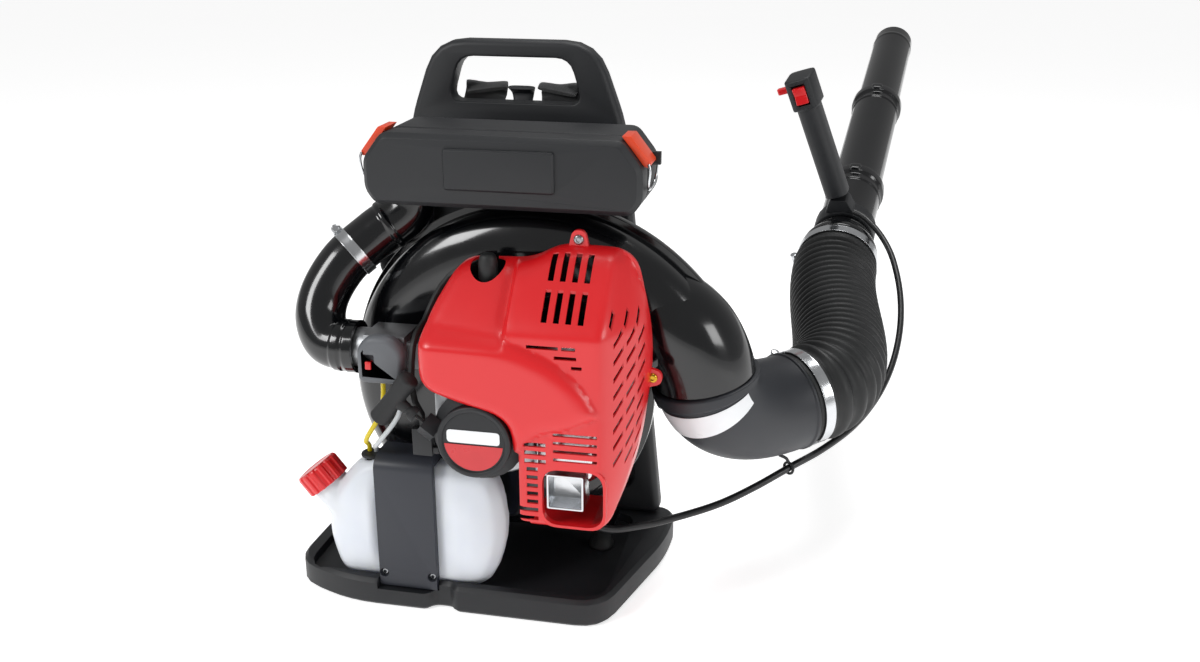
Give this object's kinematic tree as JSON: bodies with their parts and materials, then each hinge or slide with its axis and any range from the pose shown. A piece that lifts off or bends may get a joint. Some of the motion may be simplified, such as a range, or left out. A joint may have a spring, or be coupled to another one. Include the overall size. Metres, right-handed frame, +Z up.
{
  "type": "backpack leaf blower",
  "caption": "Petrol backpack leaf blower: engine and fan on a carrying frame, with a flexible hose, a long blower pipe and a control grip.",
  "frame": {"origin": "centre of the base tray's underside, on the ground", "axes": "+Z up, +Y towards the wearer's back and along the blower pipe, +X to the side that carries the pipe"},
  "size_m": [0.6336, 1.2046, 0.558],
  "materials": {
    "dark_plastic": "matte moulded plastic, dark blue-grey",
    "gloss_black": "gloss black plastic",
    "red_cover": "satin red plastic",
    "rubber": "matte black rubber",
    "aluminium": "die-cast aluminium",
    "steel": "bright zinc-plated steel",
    "iron": "machined steel and iron",
    "tank": "translucent white polyethylene",
    "foam": "black foam",
    "webbing": "padded black webbing",
    "orange": "orange plastic",
    "yellow_hose": "yellow fuel hose",
    "clear_hose": "clear fuel hose",
    "white_rubber": "clear bulb",
    "grey_plastic": "grey plastic",
    "nylon": "glass-filled nylon"
  },
  "bodies": {
    "pack": {"base_tray": "dark_plastic", "back_frame": "dark_plastic", "av_mount_lower_left": "rubber", "av_mount_lower_right": "rubber", "av_mount_upper_left": "rubber", "av_mount_upper_right": "rubber", "back_pad": "foam", "shoulder_strap_left": "webbing", "shoulder_strap_right": "webbing", "fan_case_front": "gloss_black", "fan_case_rear": "gloss_black", "outlet_elbow": "dark_plastic", "hose_clamp_lower": "steel", "hose_lower": "rubber", "crankcase": "aluminium", "cylinder": "aluminium", "ignition_coil": "dark_plastic", "spark_plug": "steel", "ignition_lead": "rubber", "engine_cover": "red_cover", "muffler": "steel", "carburettor": "aluminium", "carb_cover": "grey_plastic", "starter_case": "dark_plastic", "fuel_tank": "tank", "tank_strap": "dark_plastic", "fuel_line": "yellow_hose", "return_line": "clear_hose", "air_cleaner_case": "dark_plastic", "air_cleaner_cover": "dark_plastic", "filter_element": "foam", "intake_pipe": "gloss_black", "intake_clamp": "steel", "throttle_cable_lower": "rubber"},
    "rotor": {"crank_web_front": "iron", "crank_web_rear": "iron", "flywheel": "aluminium", "impeller": "nylon"},
    "reel": {"starter_reel": "nylon"},
    "piston_and_rod": {"piston": "aluminium", "connecting_rod": "iron"},
    "pull_grip": {"starter_grip": "rubber", "starter_rope": "webbing"},
    "gasket": {"cap_gasket": "rubber"},
    "cap": {"fuel_cap": "red_cover"},
    "latch_l": {"latch_left": "orange"},
    "latch_r": {"latch_right": "orange"},
    "hose": {"hose_upper": "rubber"},
    "tube": {"hose_clamp_upper": "steel", "swivel_pipe": "gloss_black", "mid_pipe": "gloss_black", "end_pipe": "gloss_black", "handle_bracket": "dark_plastic", "control_grip": "dark_plastic", "throttle_cable_upper": "rubber"},
    "trigger": {"throttle_trigger": "gloss_black"},
    "cruise": {"cruise_lever": "red_cover"},
    "switch": {"stop_switch": "red_cover"},
    "choke": {"choke_lever": "red_cover"},
    "primer": {"primer_bulb": "white_rubber"}
  },
  "joints": [
    {"name": "rotor_spin", "type": "hinge", "parent": "pack", "child": "rotor", "pos_m": [0.032, 0, 0.212], "axis": [0, 1, 0], "continuous": true},
    {"name": "piston_slide", "type": "slide", "parent": "pack", "child": "piston_and_rod", "axis": [0, 0, 1], "range_m": [-0.034, 0]},
    {"name": "starter_pull", "type": "slide", "parent": "pack", "child": "pull_grip", "axis": [-0.8, 0, 0.6], "range_m": [0, 0.55], "stiffness_N_per_m": 4, "springref_m": -0.5, "deforming": ["starter_rope"]},
    {"name": "reel_spin", "type": "hinge", "parent": "pack", "child": "reel", "pos_m": [0.032, 0, 0.212], "axis": [0, 1, 0], "range_deg": [0, 1320]},
    {"name": "cap_turn", "type": "hinge", "parent": "gasket", "child": "cap", "pos_m": [-0.15489, -0.08, 0.12731], "axis": [-0.6222, 0, 0.7828], "range_deg": [0, 720]},
    {"name": "cap_rise", "type": "slide", "parent": "pack", "child": "gasket", "axis": [-0.6222, 0, 0.7828], "range_m": [0, 0.0081]},
    {"name": "latch_left_swing", "type": "hinge", "parent": "pack", "child": "latch_l", "pos_m": [-0.09752, -0.036, 0.46495], "axis": [0, 1, 0], "range_deg": [-95, 0]},
    {"name": "latch_right_swing", "type": "hinge", "parent": "pack", "child": "latch_r", "pos_m": [0.17952, -0.036, 0.46495], "axis": [0, 1, 0], "range_deg": [0, 95]},
    {"name": "hose_yaw", "type": "hinge", "parent": "pack", "child": "hose", "pos_m": [0.36259, 0.18603, 0.19744], "axis": [0, 0, 1], "range_deg": [-25, 25], "deforming": ["hose_lower", "throttle_cable_lower"]},
    {"name": "hose_pitch", "type": "hinge", "parent": "hose", "child": "tube", "pos_m": [0.34916, 0.35694, 0.21776], "axis": [1, 0, 0], "range_deg": [-25, 25], "deforming": ["hose_upper", "throttle_cable_upper"]},
    {"name": "trigger_pull", "type": "hinge", "parent": "tube", "child": "trigger", "pos_m": [0.29846, 0.47769, 0.46016], "axis": [0.9287, -0.2096, 0.3059], "range_deg": [-12, 0], "stiffness_Nm_per_rad": 0.12, "springref_deg": 17.19},
    {"name": "cruise_set", "type": "hinge", "parent": "tube", "child": "cruise", "pos_m": [0.27863, 0.46288, 0.46119], "axis": [0.9287, -0.2096, 0.3059], "range_deg": [-35, 35]},
    {"name": "switch_rock", "type": "hinge", "parent": "tube", "child": "switch", "pos_m": [0.29157, 0.4449, 0.45863], "axis": [0.9287, -0.2096, 0.3059], "range_deg": [-6, 6]},
    {"name": "choke_set", "type": "slide", "parent": "pack", "child": "choke", "axis": [0, 0, 1], "range_m": [-0.005, 0.005]},
    {"name": "primer_press", "type": "slide", "parent": "pack", "child": "primer", "axis": [0, 0, 1], "range_m": [0, 0.005], "stiffness_N_per_m": 400, "springref_m": -0.0005}
  ],
  "couplings": [
    {"joint": "reel_spin", "follows": "starter_pull", "rad_per_m": 41.667},
    {"joint": "cap_rise", "follows": "cap_turn", "m_per_rad": 0.00064}
  ]
}
